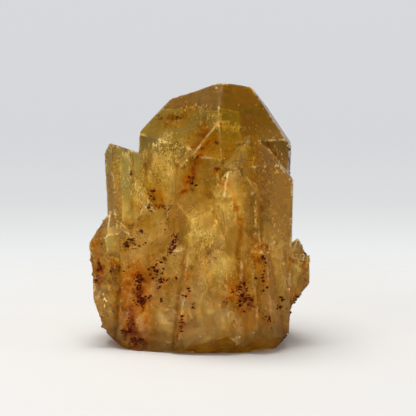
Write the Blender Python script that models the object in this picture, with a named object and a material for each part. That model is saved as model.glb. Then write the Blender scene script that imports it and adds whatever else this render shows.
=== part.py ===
"""Citrine cluster: quartz crystals grown together on a broken root, one solid that stands on a flat cut.

The tables below are in millimetres and the model is in metres. +Z is up, the front faces -Y, and the
origin is the middle of the base. A quartz crystal is a six-sided prism under a six-faced cap. Turns
are compass angles seen from above, clockwise from +X: 0 faces right, 90 the front, 180 left, 270 the
back. A rise is how far a face's outward normal points up from the crystal's own level: 0 for a prism
face, 38.2 degrees for the cap faces of quartz.
"""

import math
import random
from collections import namedtuple

import bmesh
import bpy
from mathutils import Vector

NODE = "citrine_cluster"
MM = 0.001
CAP_RISE = 38.2
BLOCK = 400.0

# Sides are the distances from the axis to the six prism faces, starting at the turn `roll` and going
# round by 60 degrees: right, front right, front left, left, back left, back right. Caps are how far
# each cap face lies beyond the tip, in the same order. Extra faces cut the crystal further: each has
# its own turn and rise, and lies `out` beyond the tip.
Crystal = namedtuple("Crystal", "name foot tip roll sides caps extra", defaults=((0,) * 6, ()))
Face = namedtuple("Face", "turn rise out")
UNUSED = 60
NO_CAPS = (UNUSED,) * 6

MAIN = Crystal(
    "main", foot=(4.0, 8.5, -5), tip=(7.4, 7.0, 72.0), roll=9, sides=(19.4, 16.0, 17.0, 23.1, 11.5, 11.5),
    caps=(UNUSED, UNUSED, UNUSED, UNUSED, 3.3, 5.8),
    extra=(Face(6, 38, 5.4), Face(73, 40, 2.4), Face(99, 43, 2.6), Face(123, 36, 3.4),
           Face(178, 41, 8.3), Face(263, 48, -1.9)))

FRONT = [
    Crystal("twin_left", (-1.0, -5.0, -5), (5.4, -7.4, 62.0), 50, (7.4, 7.6, 9.8, 9, 9, 12),
            (0, 0, 0, 0, 0, 5)),
    Crystal("twin_right", (12.3, -10.0, -5), (13.3, -12.2, 58.5), 8, (12.2, 6.3, 6.8, 10.9, 8, 8),
            (2.1, 0, 0, 0, 0, 0)),
    Crystal("front_small", (11.5, -6.0, 4), (7.3, -18.6, 49.0), 20, (8.0, 4.6, 4.4, 3.4, 6, 6),
            (3, 0.3, 0, 0, 0, 2)),
    Crystal("left_prism", (-19.5, 0.5, -5), (-21.8, 0.5, 54.5), 24, (4.2, 5, 5, 3.4, 6, 6), NO_CAPS,
            (Face(350, 69, 0.0), Face(190, 40, 2.4), Face(84, 50, 3.4))),
    Crystal("left_shoulder", (-16.0, 0.2, -5), (-18.2, -0.8, 46.8), 24, (9, 3.4, 4, 6, 6, 6),
            (UNUSED, UNUSED, 0, 0, 0, UNUSED), (Face(8, 30, 0.0),)),
    Crystal("left_leaning", (-20.4, -4.0, 5), (-24.8, -3.5, 37.2), 12, (7, 5.0, 5.5, 6.8, 6, 6)),
    Crystal("left_flake", (-20.6, -7.0, -5), (-29.2, -7.5, 19.2), 15, (7, 4, 5, 0.4, 4, 4),
            (3, 0, 0, 0, 0, 0)),
    Crystal("right_tip", (20.6, -3.5, 4), (27.4, -4.0, 29.6), 10, (3.4, 4, 4, 6, 4, 4)),
    Crystal("right_leaning", (11.6, -2.0, 0), (30.7, -2.0, 25.0), 8, (5.2, 4.5, 4.5, 6, 4.5, 4.5)),
]

# The body that the crystals rise from: its broad faces lean back into the crystals above it.
BODY = [
    Crystal("body_middle", (2, -4, -5), (2, -4, 41), 0, (13, UNUSED, UNUSED, 11, 12, 14), (9, 9, 7, 6, 3, 3),
            (Face(98, 6, 12.4), Face(98, 16, 12.1), Face(142, 8, 10.2), Face(142, 20, 9.4),
             Face(55, 6, 13.6), Face(60, 18, 12.6))),
    Crystal("body_left", (-13, -1, -5), (-13, -1, 34), 0, (10.5, UNUSED, UNUSED, UNUSED, 14, 14),
            (UNUSED, UNUSED, 3, 3, 3, 3),
            (Face(108, 6, 10.7), Face(110, 19, 9.9), Face(156, 6, 10.0), Face(158, 20, 9.0),
             Face(195, 4, 10.0))),
    Crystal("body_right", (14, -3, -5), (14, -3, 30), 0, (UNUSED, UNUSED, 14, 14, 14, 14), (6, 9, 9, 6, 3, 3),
            (Face(66, 5, 14.3), Face(64, 18, 12.4), Face(30, 6, 10.2), Face(2, 3, 8.9))),
    Crystal("body_back", (-2, 7, -5), (-2, 7, 30), 0, (17, 10, 10, 20, UNUSED, UNUSED), (9, 6, 6, 9, 8, 8),
            (Face(262, 10, 9.4), Face(222, 12, 12.5), Face(310, 9, 13.5))),
]

BACK = [
    Crystal("back_tall", (-5, 13, -5), (-8, 14.5, 53), 20, (8, 7, 8, 7, 5, 5.5), (0, 0, 0, 2, 0, 0)),
    Crystal("back_ledge", (4.0, 8.5, -5), (7.0, 7.2, 50.0), 9, (9, 8, 8, 15, 12.3, 12.0), (6, 6, 6, 6, 6, 7)),
    Crystal("back_twin", (-1, 12, -5), (-2, 14.5, 43), 20, (5, 5, 5, 5, 4.6, 4.2), (1.5, 0, 0, 0, 0, 0)),
    Crystal("back_right", (13, 11, -5), (18, 13.5, 44), 38, (5.5, 7, 7, 7, 5, 5)),
    Crystal("back_left", (-15, 9, -5), (-21.5, 10, 35), 5, (6, 6, 6, 5, 5, 5)),
    Crystal("back_low", (3, 13, -5), (6, 18.4, 31), 33, (5, 5, 5, 5, 4.4, 4)),
    Crystal("back_stub", (-8, 13, -5), (-12.5, 17.5, 24), 12, (4, 4, 4, 4, 3.4, 3.6)),
    Crystal("left_back", (-18, 4, -5), (-25.5, 4.5, 27), 25, (5, 5, 5, 3.5, 4, 5)),
    Crystal("right_back", (16, 8, -5), (24.4, 10, 30), 20, (3.5, 5, 5, 5, 4, 4)),
]

# Small crystals that fan out of the foot of the cluster, from its left side round the back to its
# right. Each stands somewhere in its own share of the way round, on an oval of the reach in x and y.
SPROUTS = 14
SPROUT_TURNS = (186, 352)
SPROUT_SHARE = (0.1, 0.9)
SPROUT_REACH = (21.0, 15.5)
SPROUT_TOPS = (9, 22)
SPROUT_LEANS = (13, 28)
SPROUT_SIZES = (1.5, 2.9)
SPROUT_UNEVEN = (0.8, 1.25)
SPROUT_CAPS = (0, 0, 0.3)

# The broken underside: rings of planes on an oval, each a height, the oval's reach in x and in y, and
# how far the planes' normals point down. The oval comes nearer to a diamond as ROOT_POWER nears 1.
ROOT_RINGS = ((0.0, 22.6, 17.2, 45), (6.0, 29.0, 21.5, 16))
ROOT_SIDES = 17
ROOT_POWER = 1.5
ROOT_TURN_JITTER = 0.3
ROOT_TILT_JITTER = 8

# Shell-shaped breaks along the foot: the middle of each hollow and its radius.
BREAKS = (
    ((44.0, -10.0, -9.0), 22.5), ((34.0, 27.0, -9.0), 23.0), ((1.0, 43.0, -11.0), 26.5),
    ((-32.0, 30.0, -8.0), 24.0), ((-43.0, -14.0, -13.0), 23.0), ((6.0, -44.0, -12.0), 27.0))
BREAK_FINENESS = 4
BREAK_ROUGHNESS = 0.006

# Low gaps under the front edge: left and right ends, height at twice the depth, and the y each starts at.
GAPS = ((-15.5, -1.5, 1.2, -12.5), (14.0, 19.5, 1.0, -11.0))
GAP_END_SLOPE = 0.4
GAP_REAR_SLOPE = 3.0
DOWN = Vector((0, 0, -1))
WELD = 0.0001
SEED = 11


def unit(vector):
    """The vector, one unit long."""
    return Vector(vector).normalized()


def outward(axis, turn, rise):
    """The outward normal of a face that looks to `turn` and rises by `rise` on a crystal along `axis`."""
    right = unit(Vector((1, 0, 0)) - axis * axis.x)
    front = right.cross(axis)
    turn = math.radians(turn)
    rise = math.radians(rise)
    level = right * math.cos(turn) + front * math.sin(turn)
    return level * math.cos(rise) + axis * math.sin(rise)


def crystal_planes(crystal):
    """The flat faces of a crystal, each as a point and an outward normal."""
    foot = Vector(crystal.foot)
    tip = Vector(crystal.tip)
    axis = unit(tip - foot)
    faces = list(crystal.extra)
    for index in range(6):
        turn = crystal.roll + 60 * index
        faces.append(Face(turn, 0, crystal.sides[index]))
        faces.append(Face(turn, CAP_RISE, crystal.caps[index]))
    planes = [(foot, -axis)]
    for face in faces:
        normal = outward(axis, face.turn, face.rise)
        planes.append((tip + normal * face.out, normal))
    return planes


def sprouts(rng):
    """Small crystals round the sides and the back, leaning outwards."""
    found = []
    first, last = SPROUT_TURNS
    for index in range(SPROUTS):
        turn = first + (last - first) * (index + rng.uniform(*SPROUT_SHARE)) / SPROUTS
        radians = math.radians(turn)
        foot = Vector((SPROUT_REACH[0] * math.cos(radians), -SPROUT_REACH[1] * math.sin(radians), 0))
        top = rng.uniform(*SPROUT_TOPS)
        lean = math.tan(math.radians(rng.uniform(*SPROUT_LEANS)))
        tip = foot * (1 + lean * top / foot.length) + Vector((0, 0, top))
        size = rng.uniform(*SPROUT_SIZES)
        sides = [size * rng.uniform(*SPROUT_UNEVEN) for _ in range(6)]
        caps = [size * rng.choice(SPROUT_CAPS) for _ in range(6)]
        found.append(Crystal(f"sprout_{index}", foot, tip, rng.uniform(0, 60), sides, caps))
    return found


def root_planes(rng):
    """The broken underside: a ragged bowl that every crystal ends in, and the flat cut below it."""
    planes = [(Vector((0, 0, 0)), DOWN)]
    for height, across, deep, down in ROOT_RINGS:
        for index in range(ROOT_SIDES):
            turn = 360 / ROOT_SIDES * (index + rng.uniform(-ROOT_TURN_JITTER, ROOT_TURN_JITTER))
            radians = math.radians(turn)
            along = abs(across * math.cos(radians)) ** ROOT_POWER
            reach = (along + abs(deep * math.sin(radians)) ** ROOT_POWER) ** (1 / ROOT_POWER)
            level = Vector((math.cos(radians), -math.sin(radians), 0))
            normal = outward(-DOWN, turn, rng.uniform(-ROOT_TILT_JITTER, ROOT_TILT_JITTER) - down)
            planes.append((level * reach + Vector((0, 0, height)), normal))
    return planes


def gap_planes(left, right, height, back):
    """A low wedge under the front edge, tallest in front."""
    start = Vector((0, back, 0))
    return [(Vector((left, 0, 0)), unit((-1, 0, GAP_END_SLOPE))),
            (Vector((right, 0, 0)), unit((1, 0, GAP_END_SLOPE))),
            (start, unit((0, height, -back))), (start, unit((0, 1, GAP_REAR_SLOPE))), (DOWN, DOWN)]


def break_mesh(name, middle, radius, rng):
    """A rough ball whose surface leaves a shell-shaped hollow."""
    shape = bmesh.new()
    bmesh.ops.create_icosphere(shape, subdivisions=BREAK_FINENESS, radius=radius)
    for vertex in shape.verts:
        vertex.co *= 1 + rng.uniform(-BREAK_ROUGHNESS, BREAK_ROUGHNESS)
    bmesh.ops.translate(shape, vec=middle, verts=shape.verts[:])
    return finished_mesh(name, shape)


def convex_mesh(name, planes):
    """A closed convex mesh inside all the planes."""
    shape = bmesh.new()
    bmesh.ops.create_cube(shape, size=BLOCK)
    for point, normal in planes:
        everything = shape.verts[:] + shape.edges[:] + shape.faces[:]
        bmesh.ops.bisect_plane(
            shape, geom=everything, dist=WELD, plane_co=point, plane_no=normal, clear_outer=True)
        bmesh.ops.holes_fill(shape, edges=[edge for edge in shape.edges if edge.is_boundary])
    return finished_mesh(name, shape)


def finished_mesh(name, shape):
    """A mesh in metres of the shape, which is in millimetres."""
    bmesh.ops.recalc_face_normals(shape, faces=shape.faces[:])
    bmesh.ops.scale(shape, vec=(MM, MM, MM), verts=shape.verts[:])
    mesh = bpy.data.meshes.new(name)
    shape.to_mesh(mesh)
    shape.free()
    return mesh


def add_object(name, mesh, parent):
    """A scene object for the mesh."""
    item = bpy.data.objects.new(name, mesh)
    item.parent = parent
    bpy.context.scene.collection.objects.link(item)
    return item


def shape_with(target, name, mesh, operation):
    """Joins the mesh to the target, or cuts the target with it."""
    tool = add_object(name, mesh, target.parent)
    tool.hide_render = True
    tool.display_type = "WIRE"
    modifier = target.modifiers.new(name, "BOOLEAN")
    modifier.operation = operation
    modifier.object = tool
    modifier.solver = "EXACT"


def citrine():
    """Clear amber quartz."""
    material = bpy.data.materials.new("citrine")
    material.use_nodes = True
    shader = material.node_tree.nodes["Principled BSDF"]
    shader.inputs["Base Color"].default_value = (0.55, 0.33, 0.09, 1)
    shader.inputs["Roughness"].default_value = 0.12
    shader.inputs["Metallic"].default_value = 0.0
    shader.inputs["Transmission Weight"].default_value = 1.0
    shader.inputs["IOR"].default_value = 1.544
    return material


def centre(frame, cluster):
    """Moves the frame so that the middle of the cluster's base is the origin."""
    bpy.context.view_layer.update()
    shape = cluster.evaluated_get(bpy.context.evaluated_depsgraph_get())
    corners = [cluster.matrix_world @ Vector(corner) for corner in shape.bound_box]
    for axis in (0, 1):
        values = [corner[axis] for corner in corners]
        frame.location[axis] = -(min(values) + max(values)) / 2


def main():
    """Builds the cluster."""
    for item in list(bpy.data.objects):
        bpy.data.objects.remove(item, do_unlink=True)
    rng = random.Random(SEED)
    frame = bpy.data.objects.new("cluster_frame", None)
    bpy.context.scene.collection.objects.link(frame)
    cluster = add_object(NODE, convex_mesh(NODE, crystal_planes(MAIN)), frame)
    cluster.data.materials.append(citrine())
    for crystal in FRONT + BODY + BACK + sprouts(rng):
        shape_with(cluster, crystal.name, convex_mesh(crystal.name, crystal_planes(crystal)), "UNION")
    shape_with(cluster, "root", convex_mesh("root", root_planes(rng)), "INTERSECT")
    for index, (middle, radius) in enumerate(BREAKS):
        name = f"break_{index}"
        shape_with(cluster, name, break_mesh(name, middle, radius, rng), "DIFFERENCE")
    for index, gap in enumerate(GAPS):
        name = f"gap_{index}"
        shape_with(cluster, name, convex_mesh(name, gap_planes(*gap)), "DIFFERENCE")
    centre(frame, cluster)


main()
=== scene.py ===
"""Looks of the citrine cluster: clear amber quartz with veils, haze, iron stains and a frosted foot.

Lengths in the tables are in millimetres, and the scene is in metres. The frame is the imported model's:
+Z up, the front at -Y. Marks are placed where a pixel of the 416 x 416 picture looks at the surface.
"""

import math
import random

import bmesh
import bpy
import numpy as np
from mathutils import Matrix, Vector, noise
from mathutils.bvhtree import BVHTree
from mathutils.kdtree import KDTree

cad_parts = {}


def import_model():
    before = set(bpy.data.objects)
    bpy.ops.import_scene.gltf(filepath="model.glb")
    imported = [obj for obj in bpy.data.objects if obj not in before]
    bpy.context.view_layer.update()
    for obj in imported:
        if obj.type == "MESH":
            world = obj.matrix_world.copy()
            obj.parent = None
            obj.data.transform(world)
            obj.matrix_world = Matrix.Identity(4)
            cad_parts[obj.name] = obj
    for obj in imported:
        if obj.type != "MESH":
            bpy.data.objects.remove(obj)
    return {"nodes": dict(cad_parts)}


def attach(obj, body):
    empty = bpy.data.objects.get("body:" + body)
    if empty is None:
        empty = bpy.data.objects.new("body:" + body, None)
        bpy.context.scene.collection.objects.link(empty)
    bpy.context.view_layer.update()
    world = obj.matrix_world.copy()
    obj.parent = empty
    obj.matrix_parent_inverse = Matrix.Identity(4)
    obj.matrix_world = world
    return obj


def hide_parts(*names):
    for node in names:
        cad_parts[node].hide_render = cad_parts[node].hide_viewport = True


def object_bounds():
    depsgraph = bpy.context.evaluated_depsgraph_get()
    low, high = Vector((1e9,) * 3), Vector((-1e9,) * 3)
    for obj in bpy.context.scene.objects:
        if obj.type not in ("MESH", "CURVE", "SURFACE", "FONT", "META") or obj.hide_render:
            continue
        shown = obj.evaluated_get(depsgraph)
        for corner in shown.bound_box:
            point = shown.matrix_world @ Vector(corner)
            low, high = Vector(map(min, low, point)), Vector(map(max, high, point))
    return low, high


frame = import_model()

CAD_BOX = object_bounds()
NODE = "citrine_cluster"
BODY = "root"
MM = 0.001
SEED = 5

# The camera: how far it is from the aim point, how far it looks down, and its lens and sensor.
PICTURE = 416
CAMERA_DISTANCE = 340.0
CAMERA_PITCH = math.radians(6.0)
CAMERA_AIM = Vector((2.2, 0.0, 37.3))
LENS = 105.0
SENSOR = 36.0

# The surface mesh: the longest edge after each step, the least bend of a crystal's edge, and the bend
# from which two faces shade apart.
EDGE_STEPS = (12.0, 6.0, 3.0, 1.6, 1.1, 0.86)
SHARP = math.radians(14)
CREASE = math.radians(24)

# Relief, and how far the wear of an edge and the dirt of a valley reach, in millimetres.
STRIATION = 0.035
STRIATION_PITCH = 0.9
STRIATION_LENGTH = 14.0
UNDULATION = 0.05
FROST_RELIEF = 0.3
LEAST_RELIEF = 0.03
RIM_REACH = 0.8
VALLEY_REACH = 2.6

# Chips: how many, and the ranges of their radii and of their depths as a share of the radius. They lie
# along the edges up to one height, and all over the broken foot up to another.
EDGE_CHIPS = (170, (0.5, 2.2), (0.12, 0.35))
FOOT_CHIPS = (320, (1.5, 5.5), (0.04, 0.11))
EDGE_CHIPS_BELOW = 56
FOOT_CHIPS_BELOW = 28

# Amber quartz: its refractive index, how much of the skin lets light through, and what a metre absorbs.
IOR = 1.544
CLEARNESS = 0.92
ABSORPTION = (21.0, 31.0, 150.0)

# The skin's colours: clear crystal, milky crystal, the pale crystals at the sides, with how light they
# are on the left and on the right where they are clear, and the painted highlight along an edge. Then
# what the painted shade and dirt of the creases, the pink foot and more and more iron multiply them by.
CLEAR_TINT = (0.50, 0.31, 0.04)
MILKY_TINT = (1.0, 0.88, 0.5)
PALE_TINT = (1.0, 0.8, 0.47)
PALE_LIGHT = (0.7, 0.56)
EDGE_HIGHLIGHT_TINT = (0.98, 0.86, 0.5)
CREASE_SHADE_AND_DIRT_SHARE = (0.5, 0.27, 0.09)
PINK_SHARE = (1.06, 0.86, 0.9)
STAIN_RAMP = (
    (0.0, (1, 1, 1)), (0.3, (0.97, 0.72, 0.36)), (0.6, (0.78, 0.31, 0.06)), (1.0, (0.3, 0.06, 0.012)),
)

# Zones, each from where it isn't to where it is full: heights in millimetres, except that the sides are
# told by the distance from the middle, and the window's and the left prism's by x.
FROSTED = (24, 5)
THINLY_FROSTED = (52, 36)
MILKY = (64, 46)
CLOUDY = (58, 46)
CLOUDY_MIDDLE = (24, 17)
LEFT_PRISM = (-17, -21)
LEFT_PRISM_ABOVE = (28, 36)
WINDOW_RIGHT = (10, 14)
WINDOW_ABOVE = (28, 35)
PALE_SIDES = (14, 19)
PALE_BELOW = (62, 54)
PINK = (34, 10)
MOTTLED = (36, 14)
DARK_FOOT = (10, 1)
PAINTED_BACK_SHADE = (46, 56)
LIT_EDGES = (5, 16)
BRUISED = (8, 24)
UNBRUISED_BACK = (46, 54)
SUGARY = (40, 12)
SUGARY_MIDDLE = (23, 18)

# The inside is searched in columns this far apart, each through this many surfaces at most.
COLUMN_STEP = 0.5
MOST_HITS = 30

# Pieces made of flakes: the range of the flakes' sizes, how far inside they lie at least, how much they
# turn away from their sheet, and their colour.
HAZE_LOOK = ((0.06, 0.17), 0.9, 0.3, (0.96, 0.83, 0.36))
FLAKES = {
    "haze_one": HAZE_LOOK,
    "haze_two": HAZE_LOOK,
    "veils": ((0.05, 0.17), 0.2, 0.5, (0.97, 0.88, 0.64)),
    "sugar": ((0.06, 0.17), 0.15, 0.6, (0.97, 0.77, 0.44)),
    "iron": ((0.07, 0.24), 0.06, 0.45, None),
    "bruises": ((0.06, 0.17), 0.05, 0.9, (1.0, 0.96, 0.82)),
}
# How many flakes: the most in a haze piece, the most in the sugar, those under a strong stain with a
# reach of STAIN_REACH, and those at each marked point of an edge.
HAZE_FLAKES = 195000
SUGAR_FLAKES = 90000
IRON_FLAKES = 260
STAIN_REACH = 2.5
BRUISE_FLAKES = 22
GLINT_TINT = (1.0, 0.92, 0.68)
GRAIN_COLOR = (0.075, 0.012, 0.006)

# Where lines of sight from the sides and the back start, and how far off the middle they pass.
SIDE_DISTANCE = 100
SIDE_AIM = (18, 8)

# What is scattered besides the marks of the tables: stains, groups of grains, glints and veils, with
# the veils' bubbles per square millimetre and the height they stay under.
OTHER_STAINS = 46
OTHER_GRAINS = 60
OTHER_GLINTS = 600
RANDOM_VEILS = 34
RANDOM_VEIL_DENSITY = 10.0
VEILED_BELOW = 50


def smooth_step(low, high, values):
    """0 at `low`, 1 at `high`, and a smooth change between them. It falls where `low` is the larger."""
    share = np.clip((values - low) / (high - low), 0.0, 1.0)
    return share * share * (3 - 2 * share)


def unit(rows, least=1e-12):
    """Each row with a length of 1."""
    return rows / np.maximum(np.linalg.norm(rows, axis=1), least)[:, None]


def noise_at(points, size, seed, octaves=3):
    """Layered noise, about -1 to 1, at each point, with lumps of about `size` millimetres.

    Each `seed` gives another pattern."""
    offset = Vector((seed, -2.3 * seed, 1.7 * seed))
    return np.array([noise.fractal(Vector(p) / size + offset, 1.0, 2.0, octaves) for p in points])


# ---------------------------------------------------------------- camera


def camera_place():
    """Where the camera stands, in millimetres."""
    back = Vector((0, -math.cos(CAMERA_PITCH), math.sin(CAMERA_PITCH)))
    return CAMERA_AIM + back * CAMERA_DISTANCE


def make_camera():
    """The camera at the picture's viewing angle."""
    data = bpy.data.cameras.new("camera")
    data.lens = LENS
    data.sensor_width = SENSOR
    data.clip_start = 0.01
    camera = bpy.data.objects.new("camera", data)
    camera.location = camera_place() * MM
    camera.rotation_euler = (math.pi / 2 - CAMERA_PITCH, 0, 0)
    bpy.context.scene.collection.objects.link(camera)
    bpy.context.scene.camera = camera


def sight(u, v):
    """The direction in which the camera sees the pixel (u, v) of the picture."""
    reach = LENS / SENSOR * PICTURE
    across = (u - PICTURE / 2) / reach
    up = (PICTURE / 2 - v) / reach
    rise = Vector((0, math.sin(CAMERA_PITCH), math.cos(CAMERA_PITCH)))
    ahead = Vector((0, math.cos(CAMERA_PITCH), -math.sin(CAMERA_PITCH)))
    return (ahead + Vector((across, 0, 0)) + rise * up).normalized()


def seen(tree, u, v):
    """What the pixel (u, v) looks at on the solid: the place, its normal, its triangle, its distance."""
    return tree.ray_cast(camera_place(), sight(u, v))


def places_under(table, spread, depths, tree, rng):
    """Places just under what the pixels round each mark of the table look at, as many as it says.

    A mark is a pixel, half a width and height in pixels, and a count."""
    for u, v, wide, high, count in table:
        for _ in range(count):
            at = rng.normal(size=2) * (wide, high) * spread
            hit = seen(tree, u + at[0], v + at[1])
            if hit[0] is not None:
                yield hit[0] - hit[1] * rng.uniform(*depths)


def seen_from_side(rng, past, tallest, power, lowest=0):
    """A line of sight from the sides or the back, as its start and its direction.

    It comes from up to `past` half turns in front of either side, and mostly from low down."""
    turn = rng.uniform(-past * math.pi, (1 + past) * math.pi)
    height = tallest * rng.random() ** power + lowest
    start = Vector((SIDE_DISTANCE * math.cos(turn), SIDE_DISTANCE * math.sin(turn), height))
    wide, deep = SIDE_AIM
    aim = Vector((rng.uniform(-wide, wide), rng.uniform(-deep, deep), height))
    return start, aim - start


# ---------------------------------------------------------------- meshes


def mesh_object(name, points, faces, material, smooth=False):
    """A piece made of the points, in millimetres, and the faces. It rides on the body."""
    mesh = bpy.data.meshes.new(name)
    points = np.clip(np.asarray(points) * MM, *(np.array(corner) for corner in CAD_BOX))
    mesh.from_pydata(points.tolist(), [], np.asarray(faces).tolist())
    if smooth:
        mesh.shade_smooth()
    mesh.materials.append(material)
    item = bpy.data.objects.new(name, mesh)
    bpy.context.scene.collection.objects.link(item)
    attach(item, BODY)
    return item


def split_long(points, triangles, longest):
    """Splits triangles until no edge is longer than `longest`."""
    while True:
        sides = np.sort(triangles[:, ((0, 1), (1, 2), (2, 0))].reshape(-1, 2), axis=1)
        edges, which = np.unique(sides, axis=0, return_inverse=True)
        long = np.linalg.norm(points[edges[:, 0]] - points[edges[:, 1]], axis=1) > longest
        if not long.any():
            return points, triangles
        middle = np.full(len(edges), -1)
        middle[long] = len(points) + np.arange(long.sum())
        points = np.concatenate((points, points[edges[long]].mean(1)))
        middles = middle[which].reshape(-1, 3)
        made = [triangles[(middles < 0).all(1)]]
        a, b, c, ab, bc, ca = np.hstack((triangles, middles))[(middles >= 0).all(1)].T
        quarters = ((a, ab, ca), (ab, b, bc), (ca, bc, c), (ab, bc, ca))
        made += [np.column_stack(corners) for corners in quarters]
        for turn in range(3):
            rows = np.hstack((np.roll(triangles, -turn, axis=1), np.roll(middles, -turn, axis=1)))
            a, b, c, ab, _, _ = rows[(rows[:, 3] >= 0) & (rows[:, 4] < 0) & (rows[:, 5] < 0)].T
            halves = ((a, ab, c), (ab, b, c))
            made += [np.column_stack(corners) for corners in halves]
            a, b, c, ab, bc, _ = rows[(rows[:, 3] >= 0) & (rows[:, 4] >= 0) & (rows[:, 5] < 0)].T
            thirds = ((ab, b, bc), (a, ab, bc), (a, bc, c))
            made += [np.column_stack(corners) for corners in thirds]
        triangles = np.concatenate(made)


def joined(source):
    """The mesh's points in millimetres and its triangles, with points that coincide made one."""
    shape = bmesh.new()
    shape.from_mesh(source)
    bmesh.ops.scale(shape, vec=(1 / MM,) * 3, verts=shape.verts[:])
    bmesh.ops.remove_doubles(shape, verts=shape.verts[:], dist=0.02)
    bmesh.ops.triangulate(shape, faces=shape.faces[:])
    shape.verts.index_update()
    points = np.array([vertex.co for vertex in shape.verts])
    triangles = np.array([[vertex.index for vertex in face.verts] for face in shape.faces])
    shape.free()
    return points, triangles


def facets(source):
    """The solid's flat faces cut into small triangles: points, normals, triangles, edges, bends.

    A bend is the angle between an edge's two faces, positive where the edge stands out."""
    points, triangles = joined(source)
    for longest in EDGE_STEPS:
        points, triangles = split_long(points, triangles, longest)
    corners = points[triangles]
    cross = np.cross(corners[:, 1] - corners[:, 0], corners[:, 2] - corners[:, 0])
    normals = np.zeros_like(points)
    for corner in range(3):
        np.add.at(normals, triangles[:, corner], cross)
    normals = unit(normals)
    facing = unit(cross)
    sides = np.sort(triangles[:, ((0, 1), (1, 2), (2, 0))].reshape(-1, 2), axis=1)
    order = np.lexsort((sides[:, 1], sides[:, 0]))
    sides, face = sides[order], order // 3
    pair = np.flatnonzero((sides[1:] == sides[:-1]).all(1))
    first, second = face[pair], face[pair + 1]
    bends = np.arccos(np.clip((facing[first] * facing[second]).sum(1), -1, 1))
    lean = ((corners[second].mean(1) - corners[first].mean(1)) * facing[first]).sum(1)
    return points, normals, triangles, sides[pair], np.where(lean < 0, bends, -bends)


def near(points, marked, reach):
    """How near each point is to the marked points: 1 at one of them, 0 beyond the reach."""
    tree = KDTree(len(marked))
    for index in marked:
        tree.insert(Vector(points[index]), int(index))
    tree.balance()
    distances = np.array([tree.find(Vector(point))[2] for point in points])
    return np.clip(1 - distances / reach, 0, 1)


# Pixels that look at edges which neither a light line of cracks nor the creases' painted shade and dirt
# marks.
QUIET = (
    (180, 199), (184, 205), (188, 211), (193, 217), (199, 213), (206, 208), (213, 203), (219, 200),
    (188, 203), (196, 203), (204, 202), (212, 201),
)


def loud(tree, points):
    """1 where edges may be marked, 0 near the quiet places."""
    places = np.array([seen(tree, u, v)[0] for u, v in QUIET])
    nearest = np.min([np.linalg.norm(points - place, axis=1) for place in places], axis=0)
    return smooth_step(1.2, 2.8, nearest)


def relax(points, edges, weight, rounds):
    """Moves each point towards the middle of its neighbours, by its weight, so that edges wear round."""
    for _ in range(rounds):
        total = np.zeros_like(points)
        count = np.zeros(len(points))
        for a, b in ((0, 1), (1, 0)):
            np.add.at(total, edges[:, a], points[edges[:, b]])
            np.add.at(count, edges[:, a], 1)
        points = points + (total / count[:, None] - points) * weight[:, None]
    return points


def chip(points, normals, places, chips, rng):
    """Shell-shaped chips at some of the places: points inside each ball are pushed out onto it."""
    count, radii, depths = chips
    for _ in range(count):
        at = rng.choice(places)
        radius = rng.uniform(*radii)
        depth = radius * rng.uniform(*depths)
        middle = points[at] + normals[at] * (radius - depth)
        offset = points - middle
        distance = np.linalg.norm(offset, axis=1)
        inside = (distance < radius) & (distance > radius - 1.25 * depth)
        points[inside] = middle + offset[inside] / distance[inside][:, None] * radius
    return points


def facing_back(normals):
    """1 on faces that look to the back, 0 on faces that don't."""
    return smooth_step(0.15, 0.5, normals[:, 1])


def frosting(points, normals, patches, valley_near):
    """How frosted each point is. The foot, the back and patches of the valleys are."""
    height = points[:, 2]
    frost = smooth_step(*FROSTED, height + patches * 10) * (0.75 + 0.5 * noise_at(points, 3.0, 5.5))
    frost = frost + 0.06 * smooth_step(*THINLY_FROSTED, height + 6 * patches)
    frost = frost + 0.4 * valley_near * smooth_step(-0.3, 0.5, patches)
    return np.clip(np.maximum(frost, facing_back(normals) * (0.55 + 0.35 * patches)), 0, 1)


def relief(points, normals, frost):
    """How far each point sinks in: striations across the steep faces, broad waves and rough frosting."""
    slope = np.abs(normals[:, 2])
    up = unit(np.array([0, 0, 1.0]) - normals * normals[:, 2:3], 1e-6)
    along = (points * up).sum(1)
    across = (points * np.cross(up, normals)).sum(1)
    rows = np.array([
        noise.fractal(Vector((s / STRIATION_PITCH, t / STRIATION_LENGTH, 3 * x)), 0.8, 2.2, 3)
        for s, t, x in zip(along, across, normals[:, 0])])
    fine = 0.6 * noise_at(points, 1.9, 7.7) + 0.5 * noise_at(points, 0.9, 8.8)
    depth = STRIATION * (1 + rows) * smooth_step(0.45, 0.25, slope)
    depth = depth + UNDULATION * (0.5 + 0.5 * noise_at(points, 5.0, 1.3, 2))
    depth = depth + (FROST_RELIEF * frost ** 1.5 + LEAST_RELIEF) * (0.5 + 0.5 * fine)
    return np.clip(depth, 0, None)


def face_milk(source, tree, points):
    """How milky the flat face is that each point lies on: listed for FACES, by chance for the others."""
    corners, _, _, facet = flat_faces(source)
    faces = np.random.default_rng(SEED + 7).random(facet.max() + 1) ** 1.5 * MOST_MILK
    faces[facet[corners[:, :, 2].mean(1) > CLEAR_ABOVE]] = CLEAR_MILK
    for u, v, amount in FACES:
        hit = seen(tree, u, v)
        if hit[2] is not None:
            faces[facet[hit[2]]] = amount
    return np.array([faces[facet[tree.find_nearest(Vector(point))[2]]] for point in points])


def window(points):
    """1 in the clear brown window high on the right, 0 well away from it."""
    return smooth_step(*WINDOW_RIGHT, points[:, 0]) * smooth_step(*WINDOW_ABOVE, points[:, 2])


def mixed_colors(first, second, share):
    """The first colour where the share is 0, the second where it is 1."""
    share = np.reshape(share, (-1, 1))
    return np.asarray(first) * (1 - share) + np.asarray(second) * share


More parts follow.
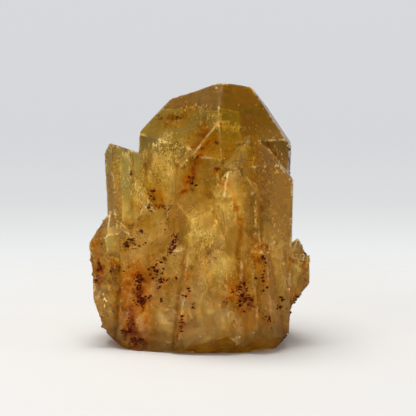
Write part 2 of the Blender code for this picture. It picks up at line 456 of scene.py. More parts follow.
def clean_tint(points, normals, height, patches, face):
    """The skin's colour without dirt: clear or milky, pale at the sides, pink and mottled low down,
    darker towards the bottom, and with painted shade on the faces that look to the back high up.
    """
    wisps = 0.5 + 0.8 * noise_at(points * (1, 1, 0.45), 3.2, 81.0, 4)
    milk = smooth_step(*MILKY, height + 7 * patches) * np.clip(0.1 + 0.8 * wisps, 0, 1)
    milk = np.clip(0.6 * milk + (0.5 + 0.7 * wisps) * (face - 0.35), 0, 1)
    milk = (milk * (1 - 0.55 * window(points)))[:, None]
    tint = mixed_colors(CLEAR_TINT, MILKY_TINT, milk)
    pale = 0.7 * smooth_step(*PALE_SIDES, np.abs(points[:, 0])) * smooth_step(*PALE_BELOW, height)
    light = np.where(points[:, :1] < 0, *PALE_LIGHT)
    tint = mixed_colors(tint, np.array(PALE_TINT) * (light + (1 - light) * milk), pale)
    pink = 0.8 * smooth_step(*PINK, height) * smooth_step(0, 0.5, noise_at(points, 5.0, 91.0))
    tint = mixed_colors(tint, tint * np.array(PINK_SHARE), pink)
    mottled = 1 + smooth_step(*MOTTLED, height) * (
        0.45 * noise_at(points, 3.4, 97.0, 4) + 0.3 * noise_at(points, 1.3, 98.0, 2))
    tint = tint * mottled[:, None] * (1 - 0.45 * smooth_step(*DARK_FOOT, height))[:, None]
    # Painted shade: faces that look to the back are darker high up, which dims the light from behind.
    return tint * (1 - 0.5 * facing_back(normals) * smooth_step(*PAINTED_BACK_SHADE, height))[:, None]


def soiled_with_painted_light(tint, points, height, edge_near, valley_near, crease, stains):
    """The colour with painted shade and dirt in the creases, with iron stains, and with painted
    highlights along the edges.
    """
    # Painted shade and dirt: the colour is darker and browner in the creases.
    crease_shade_and_dirt = crease * (0.5 + 0.5 * noise_at(points, 3.0, 15.0))
    tint = mixed_colors(tint, tint * np.array(CREASE_SHADE_AND_DIRT_SHARE), crease_shade_and_dirt)
    rust = stain_field(points, stains)
    rust = np.clip(rust + 0.25 * valley_near * smooth_step(0.1, 0.6, noise_at(points, 4.0, 21.0)), 0, 1)
    stops, colors = (np.array(column) for column in zip(*STAIN_RAMP))
    tint = tint * np.column_stack([np.interp(rust, stops, colors[:, axis]) for axis in range(3)])
    # Painted highlights: pale lines along the edges that stand out, where no rust is.
    edge_highlight = edge_near ** 2 * np.clip(0.35 + 0.9 * noise_at(points, 2.4, 95.0), 0, 0.9) * (1 - rust)
    return mixed_colors(tint, EDGE_HIGHLIGHT_TINT, edge_highlight * smooth_step(*LIT_EDGES, height))


def surface(source, tree, stains):
    """The cluster's whole skin, with worn edges, chips, striations and a frosted foot. Its colour has
    painted shade and painted highlights.

    Returns the points along the edges that stand out, and their normals."""
    rng = random.Random(SEED)
    points, normals, triangles, edges, bends = facets(source)
    rims = np.unique(edges[bends > SHARP])
    valleys = np.unique(edges[bends < -SHARP])
    height = points[:, 2]
    edge_near = near(points, rims, RIM_REACH)
    valley_near = near(points, valleys, VALLEY_REACH)
    # Where the creases get painted shade and dirt, kept away from the quiet places.
    crease = np.clip(valley_near * 2.6 - 1.6, 0, 1) * loud(tree, points)
    patches = noise_at(points, 7.0, 3.1)
    frost = frosting(points, normals, patches, valley_near)
    points = points - normals * relief(points, normals, frost)[:, None]

    worn = np.clip(0.35 + 0.8 * noise_at(points, 2.4, 9.0, 2), 0.05, 0.9)
    points = relax(points, edges, edge_near * worn, 2)
    chipped = rims[height[rims] < EDGE_CHIPS_BELOW]
    points = chip(points, normals, chipped, EDGE_CHIPS, rng)
    broken = np.flatnonzero((frost > 0.3) & (height < FOOT_CHIPS_BELOW))
    points = chip(points, normals, broken, FOOT_CHIPS, rng)
    points[height < 0.01, 2] = 0.0

    item = mesh_object("citrine", points, triangles, citrine(), smooth=True)
    item.data.set_sharp_from_angle(angle=CREASE)
    face = face_milk(source, tree, points - normals * 0.25)
    tint = clean_tint(points, normals, height, patches, face)
    tint = soiled_with_painted_light(tint, points, height, edge_near, valley_near, crease, stains)
    put_values(item.data, "frost", frost)
    put_colors(item.data, "tint", tint)
    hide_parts(NODE)
    return points[rims], normals[rims]


def put_values(mesh, name, values):
    """A number for each vertex, which the material reads by name."""
    layer = mesh.attributes.new(name, "FLOAT", "POINT")
    layer.data.foreach_set("value", np.asarray(values, np.float32))


def put_colors(mesh, name, colors):
    """A colour for each vertex, which the material reads by name."""
    layer = mesh.color_attributes.new(name, "FLOAT_COLOR", "POINT")
    colors = np.column_stack((np.clip(colors, 0, 1), np.ones(len(colors))))
    layer.data.foreach_set("color", colors.ravel())


def stain_field(points, stains):
    """How strongly the iron stains colour each point."""
    total = np.zeros(len(points))
    warp = np.column_stack([noise_at(points, 3.5, 30.0 + axis) for axis in range(3)])
    for place, reach, strength in stains:
        offset = (points - np.array(place) + warp * (0.8 + 0.45 * reach)) * (1, 1, 0.75)
        total = np.maximum(total, strength * np.exp(-(offset ** 2).sum(1) / reach ** 2))
    breakup = 0.7 + 0.75 * noise_at(points, 1.4, 31.0, 4)
    return np.clip(total * breakup * 1.6, 0, 1)


# ---------------------------------------------------------------- inside


def columns(tree):
    """The inside of the solid as columns along Y: x, z, the front end and the back end of each."""
    low, high = (np.array(corner) / MM for corner in CAD_BOX)
    found = []
    for x in np.arange(low[0] + COLUMN_STEP / 2, high[0], COLUMN_STEP):
        for z in np.arange(low[2] + COLUMN_STEP / 2, high[2], COLUMN_STEP):
            place = Vector((x, low[1] - 1, z))
            hits = []
            for _ in range(MOST_HITS):
                hit = tree.ray_cast(place, Vector((0, 1, 0)))
                if hit[0] is None:
                    break
                hits.append((hit[0].y, hit[1].y))
                place = hit[0] + Vector((0, 0.02, 0))
            front = None
            for y, facing in hits:
                if facing < 0:
                    front = y if front is None else front
                elif front is not None:
                    found.append((x, z, front, y))
                    front = None
    return np.array(found)


def inside_points(cells, count, rng, margin=0.35):
    """Random points inside the columns, at least `margin` away from their ends."""
    length = np.clip(cells[:, 3] - cells[:, 2] - 2 * margin, 0, None)
    pick = rng.choice(len(cells), count, p=length / length.sum())
    picked = cells[pick]
    depth = margin + rng.random(count) * length[pick]
    step = (rng.random((count, 2)) - 0.5) * COLUMN_STEP
    return np.column_stack((picked[:, 0] + step[:, 0], picked[:, 2] + depth, picked[:, 1] + step[:, 1]))


def well_inside(tree, points, margin):
    """Which points are inside the solid and at least `margin` away from its surface."""
    kept = []
    for point in points:
        place, normal, _, distance = tree.find_nearest(Vector(point))
        kept.append(distance > margin and (place - Vector(point)).dot(normal) > 0)
    return np.array(kept)


def flakes(points, normals, sizes, spread, rng):
    """Small irregular triangles at the points, each turned up to about `spread` from its normal."""
    count = len(points)
    facing = unit(normals + rng.normal(size=(count, 3)) * spread)
    side = unit(np.cross(facing, rng.normal(size=(count, 3))))
    other = np.cross(facing, side)
    corners = []
    for turn in (0, 120, 240):
        angle = np.radians(turn + rng.uniform(-35, 35, count))
        reach = sizes * rng.uniform(0.5, 1.3, count)
        across, along = np.cos(angle) * reach, np.sin(angle) * reach
        corners.append(points + side * across[:, None] + other * along[:, None])
    made = np.stack(corners, 1).reshape(-1, 3)
    return made, np.arange(3 * count).reshape(-1, 3)


def flake_piece(name, points, normals, tree, rng, material=None):
    """The piece `name`: flakes at those points that lie far enough inside, turned at random if no
    normals are given."""
    size, margin, spread, color = FLAKES[name]
    kept = well_inside(tree, points, margin)
    points = points[kept]
    normals = rng.normal(size=points.shape) if normals is None else normals[kept]
    sizes = rng.uniform(*size, len(points))
    mesh_object(name, *flakes(points, normals, sizes, spread, rng), material or mist(name, color))


def haze(name, cells, tree, seed):
    """Half of the lower body's cloudiness: a mist of tiny flakes in lumps and upright fingers."""
    rng = np.random.default_rng(seed)
    points = inside_points(cells, HAZE_FLAKES * 2, rng)
    lumps = noise_at(points, 9.0, 41.0)
    fingers = noise_at(points * (1, 1, 0.3), 2.6, 43.0)
    height = points[:, 2]
    cloud = smooth_step(*CLOUDY, height + 8 * lumps)
    cloud = cloud * np.clip(0.6 + 0.7 * lumps + 0.9 * fingers, 0, 1)
    cloud = np.where(cloud < 0.2, 0.0, cloud)
    cloud = cloud * (0.35 + 0.65 * smooth_step(*CLOUDY_MIDDLE, np.abs(points[:, 0])))
    prism = smooth_step(*LEFT_PRISM, points[:, 0]) * smooth_step(*LEFT_PRISM_ABOVE, height)
    cloud = cloud * (1 - 0.6 * prism)
    cloud = cloud * (1 - 0.8 * window(points))
    points = points[rng.random(len(points)) < cloud][:HAZE_FLAKES]
    flake_piece(name, points, None, tree, rng)


# Veils: healed cracks full of fine bubbles. Each has the pixel that looks at its middle, its depth
# behind the surface, its width and height, its turn and tilt in degrees, and its bubbles per square
# millimetre before it is thinned into wisps.
VEILS = (
    (160, 148, 4, 13, 8, 20, 10, 28), (176, 158, 5, 8, 14, -15, 5, 28),
    (170, 178, 6, 12, 14, 5, 0, 28), (150, 165, 3, 8, 10, 30, 0, 35),
    (228, 128, 3, 11, 4, 0, 5, 63), (212, 124, 4, 6, 5, -20, 10, 42),
    (190, 108, 2, 7, 3, 10, 40, 28), (272, 230, 2, 7, 12, 10, 0, 21),
    (278, 262, 2, 7, 14, -10, 0, 28), (205, 205, 4, 12, 12, 15, 10, 35),
    (228, 205, 3, 7, 12, -10, 0, 28), (124, 158, 1.5, 6, 6, 0, 0, 10.5),
    (140, 215, 2.5, 10, 10, 10, 0, 35), (210, 262, 3, 14, 8, 0, 20, 35),
    (170, 225, 4, 14, 10, 0, 0, 28), (200, 116, 5, 18, 5, 10, 10, 10.5),
    (175, 125, 5, 14, 7, 15, 0, 14), (240, 270, 3, 12, 14, 0, 0, 35),
    (203, 232, 3, 16, 13, 0, 0, 42), (190, 310, 2, 16, 8, 0, 10, 35),
    (250, 145, 1.5, 5, 3, 0, 10, 63),
)


def veil_points(middle, width, height, turn, tilt, density, rng, seed):
    """Points on one wavy sheet, thinned into wisps, with the sheet's normal."""
    turned = Matrix.Rotation(math.radians(turn), 3, "Z") @ Matrix.Rotation(math.radians(tilt), 3, "X")
    across, normal, up = (np.array(turned @ Vector(axis)) for axis in ((1, 0, 0), (0, -1, 0), (0, 0, 1)))
    count = int(width * height * density)
    s = rng.uniform(-1, 1, count)
    t = rng.uniform(-1, 1, count)
    flat = np.column_stack((s * width / 2, t * height / 2, np.full(count, 11.0 * seed)))
    wave = noise_at(flat, 6.0, seed)
    wisps = noise_at(flat * (1.0, 0.5, 1.0), 1.8, seed + 5, 4)
    round_edge = 1 - np.sqrt(s * s + t * t) + 0.35 * wave
    kept = (wisps > -0.05) & (round_edge > 0)
    wave = wave[kept] * 1.6 + rng.normal(size=kept.sum()) * 0.05
    s, t = s[kept] * width / 2, t[kept] * height / 2
    points = np.array(middle) + s[:, None] * across + t[:, None] * up + wave[:, None] * normal
    return points, np.tile(normal, (len(points), 1))


def veils(cells, tree):
    """Every veil, those of the table and others all through the lower body, as one piece."""
    rng = np.random.default_rng(SEED + 1)
    sheets = []
    for index, (u, v, depth, width, height, turn, tilt, density) in enumerate(VEILS):
        middle = seen(tree, u, v)[0] + sight(u, v) * depth
        sheets.append(veil_points(middle, width, height, turn, tilt, density, rng, index + 1.0))
    places = inside_points(cells[cells[:, 1] < VEILED_BELOW], RANDOM_VEILS, rng, 2.0)
    for index, middle in enumerate(places):
        width, height = rng.uniform(6, 18, 2)
        turn, tilt = rng.uniform(0, 360), rng.uniform(-40, 40)
        density = RANDOM_VEIL_DENSITY
        sheets.append(veil_points(middle, width, height, turn, tilt, density, rng, index + 50.0))
    points, normals = (np.concatenate(arrays) for arrays in zip(*sheets))
    kept = rng.random(len(points)) > 0.6 * window(points)
    flake_piece("veils", points[kept], normals[kept], tree, rng)


# Iron stains: the pixel that looks at each one, its reach in pixels and its strength.
STAINS = (
    (139, 282, 11, 1), (141, 301, 9, 0.95), (133, 270, 10, 0.6), (124, 290, 13, 0.6),
    (130, 325, 9, 0.9), (128, 308, 11, 0.6), (124, 331, 5, 0.8), (136, 340, 9, 0.9), (150, 338, 7, 0.5),
    (145, 318, 10, 0.5), (100, 268, 6, 0.9), (97, 281, 4, 0.8), (118, 268, 8, 0.5), (110, 262, 6, 0.4),
    (133, 203, 8, 0.35), (157, 193, 7, 0.5), (150, 198, 4, 0.7), (162, 203, 5, 0.6), (190, 178, 5, 0.9),
    (212, 143, 8, 0.4), (170, 121, 8, 0.62), (186, 114, 8, 0.5), (178, 126, 5, 0.4),
    (240, 290, 11, 0.6), (248, 300, 10, 0.75), (250, 318, 8, 0.4), (228, 302, 6, 0.4),
    (262, 262, 10, 0.4), (256, 248, 9, 0.35), (266, 280, 7, 0.35), (270, 319, 6, 0.4),
    (186, 276, 6, 0.4), (126, 245, 5, 0.4), (205, 268, 5, 0.3), (160, 250, 8, 0.25), (252, 176, 3, 0.6),
    (225, 184, 5, 0.55), (165, 283, 9, 0.3), (150, 262, 8, 0.3),
)
# Stains that run along a line: the pixels at both ends, the half width in pixels and the strength.
STREAKS = (
    (218, 133, 203, 150, 2.2, 0.6), (203, 150, 193, 168, 3, 0.9), (193, 168, 182, 193, 2.6, 0.85),
    (182, 193, 173, 205, 2, 0.7), (232, 188, 236, 212, 1.8, 0.6), (236, 212, 244, 240, 2, 0.5),
    (268, 146, 276, 156, 1.6, 0.9), (128, 177, 134, 169, 0.9, 1), (214, 171, 221, 165, 0.9, 1),
    (187, 312, 178, 336, 1.6, 0.95), (136, 270, 142, 300, 4, 1), (128, 312, 136, 342, 4, 1),
    (96, 257, 102, 278, 2.4, 0.8), (155, 205, 168, 212, 1.6, 0.8), (150, 190, 158, 212, 1.6, 0.7),
    (236, 326, 253, 324, 1.2, 0.9), (240, 284, 252, 306, 3, 0.8), (255, 262, 270, 280, 3, 0.4),
    (186, 275, 190, 300, 1.6, 0.6), (222, 181, 231, 187, 1.6, 0.6), (265, 240, 268, 262, 2, 0.4),
)


def stain_places(tree):
    """Each stain as a place on the surface, its reach and its strength. More are added all round."""
    rng = random.Random(SEED + 2)
    scale = CAMERA_DISTANCE / (LENS / SENSOR * PICTURE)
    found = []
    spots = list(STAINS)
    for u0, v0, u1, v1, reach, strength in STREAKS:
        steps = int(math.hypot(u1 - u0, v1 - v0) / reach) + 1
        for step in range(steps + 1):
            share = step / steps
            u = u0 + share * (u1 - u0) + rng.gauss(0, 0.35 * reach)
            v = v0 + share * (v1 - v0)
            spots.append((u, v, reach * rng.uniform(0.7, 1.4), strength * rng.uniform(0.7, 1.1)))
    for u, v, reach, strength in spots:
        hit = seen(tree, u, v)
        if hit[0] is not None:
            found.append((hit[0], reach * scale, strength))
    while len(found) < len(spots) + OTHER_STAINS:
        hit = tree.ray_cast(*seen_from_side(rng, 0.15, 60, 1.6))
        if hit[0] is not None:
            found.append((hit[0], rng.uniform(1.0, 3.2), rng.uniform(0.4, 1.0)))
    return found


# Groups of dark grains: the pixel at the middle, half its width and height in pixels, the grains.
GRAINS = (
    (192, 183, 4, 9, 34), (203, 148, 2, 2, 6), (216, 142, 2, 2, 4), (197, 158, 2, 3, 6),
    (152, 198, 3, 3, 14), (151, 207, 5, 5, 22), (163, 207, 6, 3, 10), (152, 191, 2, 2, 5),
    (143, 186, 2, 2, 4), (126, 245, 3, 6, 30), (132, 240, 3, 5, 10), (142, 232, 4, 2, 8),
    (131, 239, 3, 3, 6), (174, 243, 4, 9, 46), (170, 252, 5, 6, 22), (177, 235, 2, 3, 8),
    (163, 260, 5, 4, 22), (157, 272, 7, 6, 34), (161, 281, 6, 4, 20), (154, 266, 4, 3, 8),
    (158, 286, 4, 3, 6), (177, 279, 2, 2, 4), (150, 297, 3, 3, 6), (161, 299, 2, 4, 8),
    (186, 296, 3, 2, 6), (189, 290, 2, 3, 5), (194, 306, 3, 3, 5), (138, 283, 5, 9, 60),
    (141, 301, 6, 7, 50), (130, 327, 5, 9, 46), (124, 331, 4, 3, 14), (136, 340, 9, 4, 36),
    (117, 268, 8, 7, 26), (99, 266, 3, 7, 16), (97, 280, 2, 5, 12), (183, 325, 3, 9, 16),
    (241, 289, 9, 7, 46), (247, 299, 9, 7, 34), (226, 302, 4, 3, 8), (241, 305, 3, 2, 5),
    (262, 246, 4, 4, 6), (262, 257, 5, 5, 8), (267, 263, 4, 6, 8), (264, 275, 6, 4, 10),
    (264, 290, 4, 8, 8), (131, 173, 1, 3, 7), (217, 168, 2, 2, 8), (282, 299, 2, 3, 6),
    (279, 307, 3, 3, 9), (268, 318, 6, 4, 16), (160, 118, 6, 5, 12), (175, 116, 8, 5, 14),
)

# How milky a flat face is at most where chance decides, and how milky all are above a height.
MOST_MILK = 0.7
CLEAR_MILK = 0.1
CLEAR_ABOVE = 54
# Faces whose milkiness isn't left to chance: a pixel that looks at each, and how milky it is. The
# narrow face at (219, 98) is made fully milky as a painted reflection.
FACES = (
    (125, 165, 0.9), (110, 165, 0.1), (143, 170, 0.5), (219, 98, 1), (200, 140, 0.35),
    (270, 120, 0), (160, 115, 0.6), (214, 160, 0.3), (265, 165, 0), (235, 160, 0.4),
    (225, 185, 0.6), (222, 215, 0.8), (252, 215, 0.65), (236, 178, 0.8), (150, 195, 0.9),
    (125, 235, 0.6), (300, 262, 0.8), (295, 250, 0.5), (110, 310, 0.6), (290, 180, 0.8),
    (165, 240, 0.5), (230, 250, 0.9), (205, 212, 0.3), (205, 255, 0.9), (141, 213, 1),
)


def flat_faces(source):
    """The solid's triangles: their corners, areas, normals and the number of the flat face each is in."""
    corners = np.array([[source.vertices[index].co / MM for index in face.vertices]
                        for face in source.polygons])
    cross = np.cross(corners[:, 1] - corners[:, 0], corners[:, 2] - corners[:, 0])
    areas = np.linalg.norm(cross, axis=1) / 2
    normals = cross / np.maximum(areas * 2, 1e-9)[:, None]
    offsets = (corners.mean(1) * normals).sum(1)
    keys = np.round(np.column_stack((normals * 40, offsets * 4))).astype(int)
    _, facet = np.unique(keys, axis=0, return_inverse=True)
    return corners, areas, normals, facet.ravel()


def sugar(source, tree):
    """The frosted foot's fine sugary grain, right under the skin."""
    rng = np.random.default_rng(SEED + 6)
    corners, areas, normals, _ = flat_faces(source)
    middles = corners.mean(1)
    weight = areas * smooth_step(*SUGARY, middles[:, 2])
    weight = weight * smooth_step(*SUGARY_MIDDLE, np.abs(middles[:, 0]))
    pick = rng.choice(len(areas), SUGAR_FLAKES, p=weight / weight.sum())
    s, t = np.sort(rng.random((2, SUGAR_FLAKES)), axis=0)
    share = np.column_stack((s, t - s, 1 - t))
    points = (corners[pick] * share[:, :, None]).sum(1)
    clumps = 0.6 * noise_at(points, 3.0, 101.0) + 0.8 * noise_at(points, 0.8, 103.0, 2)
    height = points[:, 2]
    kept = clumps + 0.6 * smooth_step(34, 10, height) - 0.8 * smooth_step(8, 1, height) > 0.45
    points, facing = points[kept], normals[pick][kept]
    points = points - facing * rng.uniform(0.2, 0.6, (len(points), 1))
    flake_piece("sugar", points, facing, tree, rng)


def iron(stains, tree):
    """Rusty flakes under the stained skin."""
    rng = np.random.default_rng(SEED + 4)
    points, normals = [], []
    for place, reach, strength in stains:
        count = int(IRON_FLAKES * strength ** 2 * (reach / STAIN_REACH) ** 1.5)
        for shake in rng.normal(size=(count, 3)) * reach * 0.55:
            near_by = tree.find_nearest(place + Vector(shake))
            points.append(near_by[0] - near_by[1] * (0.08 + 1.3 * rng.random() ** 1.7))
            normals.append(near_by[1])
    points, normals = np.array(points), np.array(normals)
    wisps = noise_at(points, 1.6, 61.0)
    kept = wisps > rng.normal(size=len(points)) * 0.25 - 0.02
    flake_piece("iron", points[kept], normals[kept], tree, rng, rusty("iron"))


def bruises(rims, tree):
    """Fine white cracks along the crystals' edges."""
    rng = np.random.default_rng(SEED + 5)
    points, normals = rims
    far = loud(tree, points) > 0.5
    points, normals = points[far], normals[far]
    height = points[:, 2]
    strong = smooth_step(-0.25, 0.45, noise_at(points, 5.0, 71.0, 2)) * smooth_step(*BRUISED, height)
    spared = smooth_step(0.1, 0.4, normals[:, 1]) * smooth_step(*UNBRUISED_BACK, height)
    strong = strong * (1 - 0.9 * spared)
    pick = np.repeat(np.flatnonzero(rng.random(len(points)) < strong), BRUISE_FLAKES)
    places = points[pick] - normals[pick] * rng.uniform(0.05, 0.35, (len(pick), 1))
    places = places + rng.normal(size=places.shape) * 0.16
    flake_piece("bruises", places, normals[pick], tree, rng)


# Painted glints on little cracks: the pixel at the middle, half the width and height in pixels, how many.
GLINTS = (
    (217, 179, 1, 7, 26), (211, 206, 3, 2, 12), (215, 221, 2, 3, 12), (146, 206, 3, 6, 24),
    (140, 186, 3, 8, 24), (116, 226, 6, 2, 16), (119, 232, 1, 1, 4), (103, 293, 1, 2, 5),
    (108, 301, 1, 2, 5), (294, 246, 1, 2, 6), (306, 260, 2, 3, 10), (225, 126, 18, 3, 60),
    (160, 144, 9, 5, 50), (186, 144, 2, 5, 20), (170, 135, 5, 4, 24), (142, 162, 3, 4, 16),
    (194, 107, 8, 2, 24), (128, 155, 5, 6, 24), (256, 219, 1, 16, 40), (254, 160, 3, 8, 24),
    (280, 163, 8, 10, 24), (186, 155, 1, 12, 20), (249, 146, 7, 3, 16), (198, 262, 14, 3, 16),
    (268, 240, 8, 20, 40), (112, 215, 6, 2, 12), (170, 170, 8, 18, 50), (230, 210, 6, 10, 20),
    (215, 240, 14, 14, 26), (232, 277, 20, 22, 40), (180, 330, 30, 12, 14), (240, 335, 30, 8, 14),
    (105, 300, 6, 16, 30), (302, 250, 6, 10, 26),
)


def glints(tree, cells):
    """Painted glints: small pale cracks, each a thin sliver just inside the skin that stands in for the
    light a crack mirrors.
    """
    rng = np.random.default_rng(SEED + 8)
    places = [np.array(place) for place in places_under(GLINTS, 0.6, (0.12, 0.7), tree, rng)]
    places = np.concatenate((places, inside_points(cells, OTHER_GLINTS, rng, 0.4)))
    places = places[well_inside(tree, places, 0.1)]
    count = len(places)
    lean = unit(rng.normal(size=(count, 3)) * 0.35 + (0.1, 0, 1))
    side = unit(np.cross(lean, rng.normal(size=(count, 3)) * 0.5 + (0, 1, 0)))
    along = lean * (rng.uniform(0.2, 1.0, (count, 1)) * rng.uniform(0.4, 1, (count, 1)))
    across = side * rng.uniform(0.05, 0.2, (count, 1))
    corners = (places - along, places + across, places + along, places - across)
    made = np.stack(corners, 1).reshape(-1, 3)
    faces = np.arange(4 * count).reshape(-1, 4)
    faces = np.concatenate((faces[:, :3], faces[:, (0, 2, 3)]))
    inside = well_inside(tree, made, 0.01).reshape(-1, 4).all(1)
    mesh_object("glints", made, faces[np.tile(inside, 2)], mist("glints", GLINT_TINT))


def grain_shapes(places, sizes, rng):
    """Small dark grains: flattened, irregular lumps of twenty faces each."""
    ball = bmesh.new()
    bmesh.ops.create_icosphere(ball, subdivisions=1, radius=1.0)
    ball.verts.index_update()
    corners = np.array([vertex.co for vertex in ball.verts])
    faces = np.array([[vertex.index for vertex in face.verts] for face in ball.faces])
    ball.free()
    points, triangles = [], []
    for index, (place, size) in enumerate(zip(places, sizes)):
        stretch = np.array((1.0, rng.uniform(0.5, 0.9), rng.uniform(0.25, 0.5))) * size
        turned = np.array(Vector(rng.normal(size=3)).to_track_quat("Z", "Y").to_matrix())
        lumpy = corners * rng.uniform(0.7, 1.25, (len(corners), 1)) * stretch
        points.append(lumpy @ turned.T + np.array(place))
        triangles.append(faces + index * len(corners))
    return np.concatenate(points), np.concatenate(triangles)


def grains(tree):
    """The dark iron-oxide grains on and just under the surface."""
    rng = np.random.default_rng(SEED + 3)
    places = []
    sizes = []
    for place in places_under(GRAINS, 0.5, (0.0, 0.1), tree, rng):
        places.append(place)
        sizes.append(0.17 + 0.45 * rng.random() ** 1.6)
    for _ in range(OTHER_GRAINS):
        start, ahead = seen_from_side(rng, 0.1, 50, 1.4, lowest=2)
        for _ in range(rng.integers(5, 26)):
            shake = Vector(rng.normal(size=3) * 1.1)
            hit = tree.ray_cast(start + shake, ahead)
            if hit[0] is not None:
                places.append(hit[0] - hit[1] * rng.uniform(0.0, 0.12))
                sizes.append(0.15 + 0.38 * rng.random() ** 2.2)
    mesh_object("grains", *grain_shapes(places, sizes, rng), plain("grains", GRAIN_COLOR, 0.8))


# ---------------------------------------------------------------- materials


def node_material(name):
    """A material, its nodes' tree, its Principled node and its output."""
    material = bpy.data.materials.new(name)
    material.use_nodes = True
    nodes = material.node_tree.nodes
    return material, material.node_tree, nodes["Principled BSDF"], nodes["Material Output"]


def add(tree, kind, **settings):
    """A node with its sockets and properties set."""
    node = tree.nodes.new(kind)
    for key, value in settings.items():
        if key in node.inputs:
            node.inputs[key].default_value = value
        else:
            setattr(node, key, value)
    return node


def noise_texture(tree, scale, detail):
    """A noise that is fixed to the object."""
    place = add(tree, "ShaderNodeTexCoord").outputs["Object"]
    node = add(tree, "ShaderNodeTexNoise", Scale=scale, Detail=detail)
    tree.links.new(place, node.inputs["Vector"])
    return node.outputs["Fac"]


def ranged(tree, value, before, after, kind="LINEAR"):
    """The value, moved from the range `before` to the range `after`."""
    node = add(tree, "ShaderNodeMapRange", interpolation_type=kind)
    for name, number in zip(("From Min", "From Max", "To Min", "To Max"), (*before, *after)):
        node.inputs[name].default_value = number
    tree.links.new(value, node.inputs["Value"])
    return node.outputs["Result"]


def product(tree, first, second):
    """The product of two values."""
    node = add(tree, "ShaderNodeMath", operation="MULTIPLY")
    tree.links.new(first, node.inputs[0])
    tree.links.new(second, node.inputs[1])
    return node.outputs[0]


def chosen(tree, share, first, second):
    """The first shader where the share is 0, the second where it is 1."""
    node = add(tree, "ShaderNodeMixShader")
    tree.links.new(share, node.inputs["Fac"])
    tree.links.new(first, node.inputs[1])
    tree.links.new(second, node.inputs[2])
    return node.outputs["Shader"]


def ramped(tree, value, stops):
    """The colour at the value, between stops that are a position and a colour each."""
    node = add(tree, "ShaderNodeValToRGB")
    elements = node.color_ramp.elements
    for index, (position, color) in enumerate(stops):
        element = elements[index] if index < 2 else elements.new(0.5)
        element.position = position
        element.color = (*color, 1)
    tree.links.new(value, node.inputs["Fac"])
    return node.outputs["Color"]


def citrine():
    """Clear amber quartz, frosted and stained by the values stored on the mesh."""
    material, tree, shader, output = node_material("citrine")
    link = tree.links.new
    shader.inputs["Transmission Weight"].default_value = CLEARNESS
    shader.inputs["IOR"].default_value = IOR
    shader.inputs["Specular Tint"].default_value = (1.0, 0.8, 0.5, 1)

    frost = add(tree, "ShaderNodeAttribute", attribute_name="frost").outputs["Fac"]
    link(ranged(tree, frost, (0, 1), (0.03, 0.5)), shader.inputs["Roughness"])

    cloud = ranged(tree, noise_texture(tree, 900.0, 4.0), (0.3, 0.7), (0.86, 1.08))
    tint = add(tree, "ShaderNodeAttribute", attribute_name="tint").outputs["Color"]
    varied = add(tree, "ShaderNodeVectorMath", operation="SCALE")
    link(tint, varied.inputs[0])
    link(cloud, varied.inputs["Scale"])
    link(varied.outputs["Vector"], shader.inputs["Base Color"])

    bump = add(tree, "ShaderNodeBump", Strength=0.12, Distance=0.0002)
    link(noise_texture(tree, 2200.0, 3.0), bump.inputs["Height"])
    link(bump.outputs["Normal"], shader.inputs["Normal"])

    densest = max(ABSORPTION) * 1.1
    volume = add(tree, "ShaderNodeVolumeAbsorption", Density=densest)
    volume.inputs["Color"].default_value = (*(1 - each / densest for each in ABSORPTION), 1)
    link(volume.outputs["Volume"], output.inputs["Volume"])
    return material


def mist(name, color):
    """Fine bubbles and flakes that scatter light both ways."""
    material, tree, shader, output = node_material(name)
    tree.nodes.remove(shader)
    link = tree.links.new
    front = add(tree, "ShaderNodeBsdfDiffuse", Color=(*color, 1))
    through = add(tree, "ShaderNodeBsdfTranslucent", Color=(*color, 1))
    both = add(tree, "ShaderNodeMixShader", Fac=0.5)
    link(front.outputs["BSDF"], both.inputs[1])
    link(through.outputs["BSDF"], both.inputs[2])
    link(both.outputs["Shader"], output.inputs["Surface"])
    return material


def rusty(name):
    """Iron oxide, from brown to orange."""
    material, tree, shader, _ = node_material(name)
    stops = ((0.38, (0.3, 0.05, 0.008)), (0.6, (0.7, 0.3, 0.03)))
    color = ramped(tree, noise_texture(tree, 500.0, 2.0), stops)
    tree.links.new(color, shader.inputs["Base Color"])
    shader.inputs["Roughness"].default_value = 0.7
    return material


def plain(name, color, roughness):
    """An opaque mineral."""
    material, _, shader, _ = node_material(name)
    shader.inputs["Base Color"].default_value = (*color, 1)
    shader.inputs["Roughness"].default_value = roughness
    shader.inputs["Specular IOR Level"].default_value = 0.0
    return material


# ---------------------------------------------------------------- setting


# The floor's radius, and where its edge starts and ends to fade, in metres.
FLOOR_RADIUS = 0.24
FLOOR_FADE = (0.06, 0.22)

# The backdrop by height, from straight down to straight up: white low down, and grey behind.
BACKDROP = (
    (0.0, (1.0, 0.99, 0.96)), (0.415, (1.0, 1.0, 0.985)), (0.4275, (0.87, 0.885, 0.88)),
    (0.45, (0.72, 0.73, 0.735)), (0.475, (0.67, 0.68, 0.70)), (0.6, (0.67, 0.68, 0.70)),
    (0.8, (0.75, 0.75, 0.75)), (1.0, (0.75, 0.75, 0.75)),
)
SEEN_THROUGH = 0.5
INNER_LIGHT = (5.2, 6.9)


def mirrored(tree):
    """1 where the setting is seen as a reflection on the crystal, else 0."""
    ray = add(tree, "ShaderNodeLightPath")
    return product(tree, ray.outputs["Is Glossy Ray"], ray.outputs["Is Reflection Ray"])


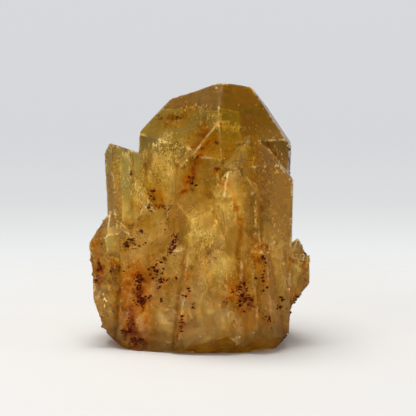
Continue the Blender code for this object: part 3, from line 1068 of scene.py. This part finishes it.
def floor():
    """A pale floor that fades into the backdrop, and is dark where the crystal mirrors it."""
    material, tree, shader, output = node_material("floor")
    shader.inputs["Base Color"].default_value = (0.47, 0.462, 0.445, 1)
    shader.inputs["Roughness"].default_value = 0.7
    link = tree.links.new
    place = add(tree, "ShaderNodeTexCoord").outputs["Object"]
    length = add(tree, "ShaderNodeVectorMath", operation="LENGTH")
    link(place, length.inputs[0])
    fade = ranged(tree, length.outputs["Value"], FLOOR_FADE, (1, 0), "SMOOTHSTEP")
    link(fade, shader.inputs["Alpha"])
    black = add(tree, "ShaderNodeBsdfDiffuse", Color=(0.06, 0.055, 0.05, 1))
    both = chosen(tree, mirrored(tree), shader.outputs["BSDF"], black.outputs["BSDF"])
    link(both, output.inputs["Surface"])
    shape = bmesh.new()
    bmesh.ops.create_circle(shape, cap_ends=True, segments=96, radius=FLOOR_RADIUS)
    mesh = bpy.data.meshes.new("floor")
    shape.to_mesh(mesh)
    shape.free()
    mesh.materials.append(material)
    item = bpy.data.objects.new("floor", mesh)
    item.location.z = -0.00005
    bpy.context.scene.collection.objects.link(item)


def world():
    """Pale surroundings: what the camera sees, what the crystal mirrors, and what lights its inside."""
    setting = bpy.data.worlds.new("studio")
    setting.use_nodes = True
    bpy.context.scene.world = setting
    tree = setting.node_tree
    link = tree.links.new
    ray = add(tree, "ShaderNodeLightPath")
    through = ray.outputs["Is Transmission Ray"]
    place = add(tree, "ShaderNodeTexCoord").outputs["Generated"]
    split = add(tree, "ShaderNodeSeparateXYZ")
    link(place, split.inputs[0])
    rise = split.outputs["Z"]

    # the backdrop, dimmer where it is seen through the crystal
    backdrop = tree.nodes["Background"]
    link(ramped(tree, ranged(tree, rise, (-1, 1), (0, 1)), BACKDROP), backdrop.inputs["Color"])
    link(ranged(tree, through, (0, 1), (1, SEEN_THROUGH)), backdrop.inputs["Strength"])

    # what the faces mirror: pale low down behind the crystal, dark elsewhere
    shine = add(tree, "ShaderNodeBackground")
    behind = ranged(tree, split.outputs["Y"], (-0.2, 0.9), (0.06, 0.5), "SMOOTHSTEP")
    low = ranged(tree, rise, (0.1, 0.5), (1, 0.12), "SMOOTHSTEP")
    link(product(tree, behind, low), shine.inputs["Strength"])

    # the light that the haze inside takes up, which has been scattered at least once
    soak = add(tree, "ShaderNodeBackground", Color=(1.0, 0.97, 0.92, 1))
    link(ranged(tree, rise, (-0.4, 1), INNER_LIGHT), soak.inputs["Strength"])
    once = add(tree, "ShaderNodeMath", operation="MINIMUM")
    link(ray.outputs["Diffuse Depth"], once.inputs[0])
    once.inputs[1].default_value = 1.0
    scattered = product(tree, through, once.outputs[0])

    outside = chosen(tree, mirrored(tree), backdrop.outputs["Background"], shine.outputs["Background"])
    light = chosen(tree, scattered, outside, soak.outputs["Background"])
    link(light, tree.nodes["World Output"].inputs["Surface"])


def lamp(name, place, aim, size, watts, sparkles=False):
    """A square soft light that the camera doesn't see, and the crystal only where it gives glints."""
    data = bpy.data.lights.new(name, "AREA")
    data.size = size * MM
    data.energy = watts
    item = bpy.data.objects.new(name, data)
    item.location = Vector(place) * MM
    item.rotation_mode = "QUATERNION"
    item.rotation_quaternion = (Vector(aim) - Vector(place)).to_track_quat("-Z", "Y")
    item.visible_camera = False
    item.visible_glossy = sparkles
    item.visible_transmission = sparkles
    bpy.context.scene.collection.objects.link(item)


def studio():
    """The floor, the backdrop and the lights."""
    floor()
    world()
    lamp("overhead", (-40, 0, 420), (0, 0, 0), 260, 2.6)
    lamp("spark_left", (-380, -260, 300), (0, 0, 40), 30, 0.2, sparkles=True)
    lamp("spark_right", (420, -60, 240), (0, 0, 30), 30, 0.2, sparkles=True)
    scene = bpy.context.scene
    scene.view_settings.view_transform = "Standard"
    scene.cycles.max_bounces = 24
    scene.cycles.transmission_bounces = 24
    scene.cycles.diffuse_bounces = 8
    scene.cycles.transparent_max_bounces = 16


def main():
    """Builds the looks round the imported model."""
    source = frame["nodes"][NODE].data
    tree = BVHTree.FromPolygons(
        [vertex.co / MM for vertex in source.vertices],
        [tuple(face.vertices) for face in source.polygons])
    make_camera()
    stains = stain_places(tree)
    rims = surface(source, tree, stains)
    bruises(rims, tree)
    iron(stains, tree)
    sugar(source, tree)
    cells = columns(tree)
    haze("haze_one", cells, tree, SEED)
    haze("haze_two", cells, tree, SEED + 9)
    veils(cells, tree)
    grains(tree)
    glints(tree, cells)
    studio()


main()
